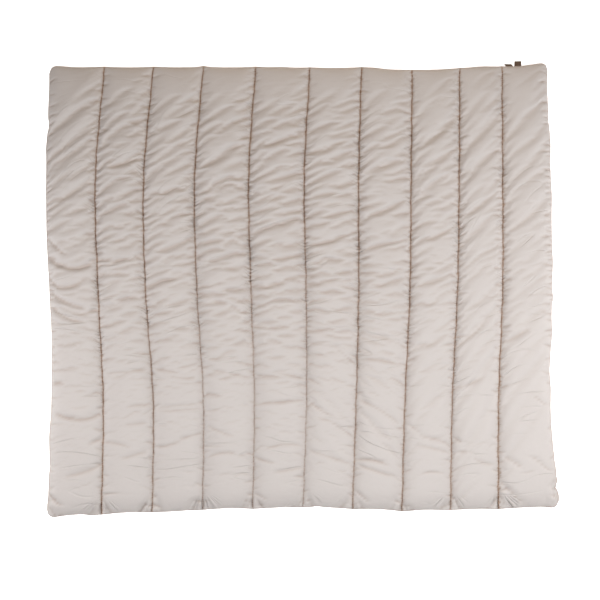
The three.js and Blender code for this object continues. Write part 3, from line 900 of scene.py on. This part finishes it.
def start_material(name, shader_values):
    """An empty node material with its shader, and the object coordinates that patterns are drawn in."""
    material = bpy.data.materials.new(name)
    material.use_nodes = True
    tree = material.node_tree
    tree.nodes.clear()
    shader = add_node(tree, "ShaderNodeBsdfPrincipled", shader_values)
    add_node(tree, "ShaderNodeOutputMaterial", links={"Surface": shader.outputs["BSDF"]})
    place = add_node(tree, "ShaderNodeTexCoord").outputs["Object"]
    return material, tree, shader, place


def shade_of(colour, share):
    """A colour made lighter or darker, with full cover."""
    return (colour[0] * share, colour[1] * share, colour[2] * share, 1)


def band_scale(spacing_mm):
    """Wave texture scale that gives bands of this spacing."""
    return 2 * math.pi / 20 / (spacing_mm * MM)


def noise_scale(size_mm):
    """Noise texture scale that gives patches of this size."""
    return 1 / (size_mm * MM)


def shell_fabric(sizes):
    """Plain woven polyester, dyed and calendered: a dull satin sheen, with fine crinkles and slubs, and
    painted shade in its hollows, on its seams and along its edge.
    """
    material, tree, shader, place = start_material(
        "woven_polyester_calendered",
        {"Roughness": 0.52, "IOR": 1.5, "Specular IOR Level": 0.35,
         "Sheen Weight": 0.18, "Sheen Roughness": 0.4},
    )
    colour = tuple(sizes.shell_colour)
    tone = add_node(tree, "ShaderNodeTexNoise", {"Scale": noise_scale(140), "Detail": 5.0, "Roughness": 0.8},
                    {"Vector": place})
    tint = add_node(tree, "ShaderNodeMix", {6: shade_of(colour, 0.955), 7: shade_of(colour, 1.03)},
                    {0: tone.outputs["Fac"]}, data_type="RGBA")
    # Painted shade: the cloth's colour is mixed towards a dark brown by the attribute that darkens hollows,
    # seams and the edge
    painted_shade = add_node(tree, "ShaderNodeAttribute", attribute_name="painted_shade")
    sewn = add_node(tree, "ShaderNodeMix", {7: (*linear("#846142"), 1)},
                    {0: painted_shade.outputs["Fac"], 6: tint.outputs[2]}, data_type="RGBA")
    tree.links.new(sewn.outputs[2], shader.inputs["Base Color"])
    crinkle = add_node(tree, "ShaderNodeTexNoise", {"Scale": noise_scale(18), "Detail": 2.0},
                       {"Vector": place})
    # Threads lie 0.3 mm apart; they are drawn twenty times as coarse so that they show
    weft = add_node(tree, "ShaderNodeTexWave", {"Scale": band_scale(6), "Distortion": 1.5, "Detail": 1.0},
                    {"Vector": place}, bands_direction="Y")
    soft = add_node(tree, "ShaderNodeBump", {"Strength": 0.25, "Distance": 2.0 * MM},
                    {"Height": crinkle.outputs["Fac"]})
    # Thin folds: gathers 14 mm apart at the stitches, creases 60 mm apart over the pads, and rays at the
    # foot. Each has the spread of its noise, half its width in it, how much stays bare, and its depth in mm
    normal = soft.outputs["Normal"]
    for name, spread, half, bare, deep in (
        ("gather", (noise_scale(14), noise_scale(60), 0), 0.14, 0.35, 5.2),
        ("crease", (noise_scale(60), noise_scale(250), 0), 0.05, 0.45, 2.2),
        ("fan", (1 / 0.40, 1, 0), 0.20, 0.35, 7.0),
    ):
        marks = add_node(tree, "ShaderNodeAttribute", attribute_name=name)
        place_on = add_node(tree, "ShaderNodeVectorMath", {1: spread}, {0: marks.outputs["Vector"]},
                            operation="MULTIPLY")
        rows = add_node(tree, "ShaderNodeTexNoise", {"Scale": 1.0, "Detail": 0.0},
                        {"Vector": place_on.outputs["Vector"]}, noise_dimensions="2D")
        ridge = add_node(tree, "ShaderNodeMath", {1: 0.5}, {0: rows.outputs["Fac"]}, operation="PINGPONG")
        pleat = add_node(tree, "ShaderNodeMapRange", {"From Min": 0.5 - half, "From Max": 0.5},
                         {"Value": ridge.outputs["Value"]}, interpolation_type="SMOOTHSTEP")
        patch = add_node(tree, "ShaderNodeTexNoise", {"Scale": noise_scale(120), "Detail": 0.0},
                         {"Vector": place})
        where = add_node(tree, "ShaderNodeMapRange", {"From Min": bare, "From Max": bare + 0.25},
                         {"Value": patch.outputs["Fac"]})
        strength = add_node(tree, "ShaderNodeSeparateXYZ", links={"Vector": marks.outputs["Vector"]})
        shown = add_node(tree, "ShaderNodeMath", operation="MULTIPLY",
                         links={0: where.outputs["Result"], 1: strength.outputs["Z"]})
        pulled = add_node(tree, "ShaderNodeMath", operation="MULTIPLY",
                          links={0: pleat.outputs["Result"], 1: shown.outputs["Value"]})
        pressed = add_node(tree, "ShaderNodeBump", {"Strength": 1.0, "Distance": deep * MM},
                           {"Height": pulled.outputs["Value"], "Normal": normal}, invert=True)
        normal = pressed.outputs["Normal"]
    woven = add_node(tree, "ShaderNodeBump", {"Strength": 0.05, "Distance": 0.5 * MM},
                     {"Height": weft.outputs["Fac"], "Normal": normal})
    tree.links.new(woven.outputs["Normal"], shader.inputs["Normal"])
    return material


def sewing_thread(sizes):
    """Spun polyester thread: matt, twisted, darker than the cloth."""
    material, tree, shader, place = start_material(
        "spun_polyester_thread", {"Roughness": 0.8, "IOR": 1.5, "Specular IOR Level": 0.25})
    colour = tuple(sizes.thread_colour)
    tone = add_node(tree, "ShaderNodeTexNoise", {"Scale": noise_scale(30), "Detail": 2.0}, {"Vector": place})
    tint = add_node(tree, "ShaderNodeMix", {6: shade_of(colour, 0.8), 7: shade_of(colour, 1.15)},
                    {0: tone.outputs["Fac"]}, data_type="RGBA")
    tree.links.new(tint.outputs[2], shader.inputs["Base Color"])
    twist = add_node(tree, "ShaderNodeTexWave", {"Scale": band_scale(1.2), "Distortion": 0.5},
                     {"Vector": place}, bands_direction="DIAGONAL")
    bump = add_node(tree, "ShaderNodeBump", {"Strength": 0.3, "Distance": 0.2 * MM},
                    {"Height": twist.outputs["Fac"]})
    tree.links.new(bump.outputs["Normal"], shader.inputs["Normal"])
    return material


def label_weave(sizes):
    """Woven label tape: close satin weave in a dark yarn, matt with a faint rib."""
    material, tree, shader, place = start_material(
        "woven_label_tape", {"Roughness": 0.72, "IOR": 1.5, "Specular IOR Level": 0.3, "Sheen Weight": 0.15})
    colour = tuple(sizes.label_colour)
    # Yarns lie 0.2 mm apart; they are drawn ten times as coarse so that they show
    rib = add_node(tree, "ShaderNodeTexWave", {"Scale": band_scale(2), "Distortion": 0.4}, {"Vector": place},
                   bands_direction="X")
    tint = add_node(tree, "ShaderNodeMix", {6: shade_of(colour, 0.8), 7: shade_of(colour, 1.2)},
                    {0: rib.outputs["Fac"]}, data_type="RGBA")
    tree.links.new(tint.outputs[2], shader.inputs["Base Color"])
    bump = add_node(tree, "ShaderNodeBump", {"Strength": 0.3, "Distance": 0.2 * MM},
                    {"Height": rib.outputs["Fac"]})
    tree.links.new(bump.outputs["Normal"], shader.inputs["Normal"])
    return material


def floor_paint():
    """Matt white painted studio floor, lit from below: even, with the faintest mottle."""
    material, tree, shader, place = start_material(
        "matt_white_floor_paint",
        {"Roughness": 0.9, "Specular IOR Level": 0.1,
         "Emission Color": (1, 1, 1, 1), "Emission Strength": 0.9})
    mottle = add_node(tree, "ShaderNodeTexNoise", {"Scale": noise_scale(400)}, {"Vector": place})
    white = linear("#fbfaf9")
    tint = add_node(tree, "ShaderNodeMix", {6: shade_of(white, 0.99), 7: shade_of(white, 1.0)},
                    {0: mottle.outputs["Fac"]}, data_type="RGBA")
    tree.links.new(tint.outputs[2], shader.inputs["Base Color"])
    return material


class DuvetSizes(bpy.types.PropertyGroup):
    """Sizes and colours of the duvet."""
    fill_pressure: FloatProperty(
        name="Fill pressure", description="How hard the filling presses the cloth up", default=5.0, min=0)
    cloth_bending: FloatProperty(
        name="Cloth bending", description="Stiffness of the shell cloth against creasing", default=3.0, min=0)
    stitch_pitch: FloatProperty(
        name="Stitch pitch", description="From the start of one stitch to the next", default=0.009,
        min=0.002, unit="LENGTH")
    thread_width: FloatProperty(
        name="Thread width", description="Thickness of a stitch", default=0.0034, min=0.0003, unit="LENGTH")
    thread_sides: IntProperty(
        name="Thread sides", description="Facets round a stitch", default=6, min=4, max=12)
    shell_colour: FloatVectorProperty(
        name="Shell colour", description="Colour of the shell cloth", default=linear("#b7ada9"),
        subtype="COLOR")
    thread_colour: FloatVectorProperty(
        name="Thread colour", description="Colour of the sewing thread", default=linear("#5c3820"),
        subtype="COLOR")
    label_colour: FloatVectorProperty(
        name="Label colour", description="Colour of the woven labels", default=linear("#5a4537"),
        subtype="COLOR")


class DUVET_OT_stage(bpy.types.Operator):
    """Lay the floor, set the soft lights and hang the camera over the duvet"""
    bl_idname = "duvet.stage"
    bl_label = "Stage"

    def execute(self, context):
        scene = context.scene
        scene.view_settings.view_transform = "Standard"
        mesh = bpy.data.meshes.new("studio_floor")
        corners = [(x * FLOOR_REACH, y * FLOOR_REACH, 0) for x, y in ((-1, -1), (1, -1), (1, 1), (-1, 1))]
        mesh.from_pydata(corners, [], [(0, 1, 2, 3)])
        mesh.materials.append(floor_paint())
        floor = bpy.data.objects.new("studio_floor", mesh)
        floor.location.z = -FLOOR_DROP
        scene.collection.objects.link(floor)
        world = bpy.data.worlds.new("studio_light")
        world.use_nodes = True
        sky = world.node_tree.nodes["Background"]
        sky.inputs["Color"].default_value = (*linear("#fff6ee"), 1)
        sky.inputs["Strength"].default_value = 0.01
        scene.world = world
        noon, day, warm = linear("#f8fdfe"), linear("#f9fdff"), linear("#ffd690")
        for name, place, aim, size, power, colour in (
            ("foot_strip", (0.95, -0.9, 3.0), (0.95, -0.85, 0), (4.5, 1.2), 108, noon),
            ("overhead_softbox", (0.2, 0.2, 3.0), (0.2, 0.2, 0), (3.0, 3.0), 35, day),
            ("left_softbox", (-2.3, -0.5, 1.0), (-0.4, -0.4, 0), (1.0, 1.0), 24, day),
            ("right_softbox", (2.6, -0.1, 1.2), (0.4, -0.2, 0), (1.0, 1.0), 28, day),
            ("head_softbox", (0.1, 3.4, 1.4), (0.1, 0.6, 0), (2.4, 1.0), 23, warm),
        ):
            light = bpy.data.lights.new(name, "AREA")
            light.shape = "RECTANGLE"
            light.size, light.size_y = size
            light.energy = power
            light.color = colour
            lamp = bpy.data.objects.new(name, light)
            lamp.location = place
            lamp.rotation_euler = (Vector(aim) - Vector(place)).to_track_quat("-Z", "Y").to_euler()
            lamp.visible_camera = False
            scene.collection.objects.link(lamp)
        camera = bpy.data.cameras.new("overhead_camera")
        camera.lens = 100
        camera.sensor_width = 36
        eye = bpy.data.objects.new("overhead_camera", camera)
        wide = PICTURE_WIDE * MM_PER_PIXEL * MM
        eye.location = (*CAMERA_PLACE, wide / camera.sensor_width * camera.lens + SEAM_TOP * MM)
        scene.collection.objects.link(eye)
        scene.camera = eye
        return {"FINISHED"}


class DUVET_OT_shell(bpy.types.Operator):
    """Sew and fill the shell with its ten channels"""
    bl_idname = "duvet.shell"
    bl_label = "Filled shell"

    def execute(self, context):
        sizes = context.scene.duvet_sizes
        points, faces, painted_shade, folds = shell_mesh(sizes)
        piece = add_piece("filled_shell", points, faces, shell_fabric(sizes))
        # Painted shade: how dark the cloth is painted in hollows, on and beside the seams and along the edge
        marks = piece.data.attributes.new("painted_shade", "FLOAT", "POINT")
        marks.data.foreach_set("value", painted_shade.astype(np.float32))
        for name, values in folds.items():
            marks = piece.data.attributes.new(name, "FLOAT_VECTOR", "POINT")
            marks.data.foreach_set("vector", values.astype(np.float32).ravel())
        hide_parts("duvet")
        return {"FINISHED"}


class DUVET_OT_stitching(bpy.types.Operator):
    """Sew a row of stitches along each of the nine seams"""
    bl_idname = "duvet.stitching"
    bl_label = "Stitching"

    def execute(self, context):
        sizes = context.scene.duvet_sizes
        pitch, wide, sides = sizes.stitch_pitch / MM, sizes.thread_width / MM, sizes.thread_sides
        turn = np.arange(sides) / sides * 2 * math.pi
        draws = np.random.default_rng(STITCH_SEED)
        place, girth, lift, lean = np.array(STITCH_RINGS).T
        points, faces, start = [], [], 0
        for channel in range(1, LAST + 1):
            v = np.linspace(0, 1, SEAM_STEPS)
            x, y = plan(channel, np.zeros_like(v), v)[:2]
            count = int((y[-1] - y[0] - 2 * STITCH_MARGIN) / pitch)
            for number in range(count):
                stray = draws.uniform(-STITCH_STRAY, STITCH_STRAY)
                middle = y[0] + STITCH_MARGIN + pitch * (number + 0.5) + stray
                shows = seam_shows(SEAMS[channel - 1], number / count)
                aside, full = draws.normal(0, STITCH_ASIDE), draws.uniform(*STITCH_FULL) * shows
                ring_y = middle + place * pitch
                ring_x = np.interp(ring_y, y, x) + aside * lean
                radius = girth * wide / 2 * full
                for k in range(len(place)):
                    ring = np.stack([ring_x[k] + radius[k] * np.cos(turn), np.full(sides, ring_y[k]),
                                     SEAM_TOP + lift[k] + radius[k] * np.sin(turn)], -1)
                    points.append(ring)
                rings = start + np.arange(len(place) * sides).reshape(len(place), sides)
                for low, high in zip(rings, rings[1:]):
                    quads = np.stack([low, high, np.roll(high, -1), np.roll(low, -1)], -1)
                    faces += [tuple(quad) for quad in quads.tolist()]
                faces.append(tuple(rings[0].tolist()))
                faces.append(tuple(rings[-1][::-1].tolist()))
                start += rings.size
        points = np.concatenate(points) + (OFFSET_X, OFFSET_Y, 0)
        add_piece("seam_stitches", points, faces, sewing_thread(sizes))
        return {"FINISHED"}


class DUVET_OT_labels(bpy.types.Operator):
    """Fold the two woven labels out of the head edge"""
    bl_idname = "duvet.labels"
    bl_label = "Labels"

    def execute(self, context):
        material = label_weave(context.scene.duvet_sizes)
        s = np.linspace(0, 1, HEAD_STEPS)
        edge_x, _, _, edge_y = plan(LAST, s, np.ones_like(s))
        steps = np.linspace(0, 1, LABEL_STEPS + 1)
        t, u = np.meshgrid(steps, steps, indexing="ij")
        for label in LABELS:
            x = lerp(label.start, label.stop, t)
            y = np.interp(x, edge_x, edge_y) + LABEL_GAP + label.reach * u
            z = lerp(LABEL_SEAT, label.tip, smooth(u, 0, 1)) + LABEL_WAVE * np.sin(LABEL_TURN * t + 1) * u
            middle = np.stack([x + label.lean * u + OFFSET_X, y + OFFSET_Y, z], -1)
            count = t.size
            numbers = np.arange(count).reshape(t.shape)
            top = middle + (0, 0, LABEL_THICK / 2)
            base = middle - (0, 0, LABEL_THICK / 2)
            points = np.concatenate([top.reshape(-1, 3), base.reshape(-1, 3)])
            faces = grid_faces(numbers).tolist() + (grid_faces(numbers)[:, ::-1] + count).tolist()
            loop = edge_loop(numbers)
            ahead = np.roll(loop, -1)
            faces += np.stack([loop + count, ahead + count, ahead, loop], -1).tolist()
            piece = add_piece("woven_" + label.name, points, faces, material)
            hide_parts(label.name)
        return {"FINISHED"}


class DUVET_PT_panel(bpy.types.Panel):
    """Pieces of the duvet and their sizes"""
    bl_label = "Camping duvet"
    bl_idname = "DUVET_PT_panel"
    bl_space_type = "VIEW_3D"
    bl_region_type = "UI"
    bl_category = "Camping duvet"

    def draw(self, context):
        for operator in OPERATORS:
            self.layout.operator(operator.bl_idname)
        for name in DuvetSizes.__annotations__:
            self.layout.prop(context.scene.duvet_sizes, name)


OPERATORS = (DUVET_OT_stage, DUVET_OT_shell, DUVET_OT_stitching, DUVET_OT_labels)
CLASSES = (DuvetSizes, *OPERATORS, DUVET_PT_panel)


def register():
    for kind in CLASSES:
        bpy.utils.register_class(kind)
    bpy.types.Scene.duvet_sizes = PointerProperty(type=DuvetSizes)


def unregister():
    del bpy.types.Scene.duvet_sizes
    for kind in reversed(CLASSES):
        bpy.utils.unregister_class(kind)


def main():
    register()
    bpy.ops.duvet.stage()
    bpy.ops.duvet.shell()
    bpy.ops.duvet.stitching()
    bpy.ops.duvet.labels()


if __name__ == "__main__":
    main()
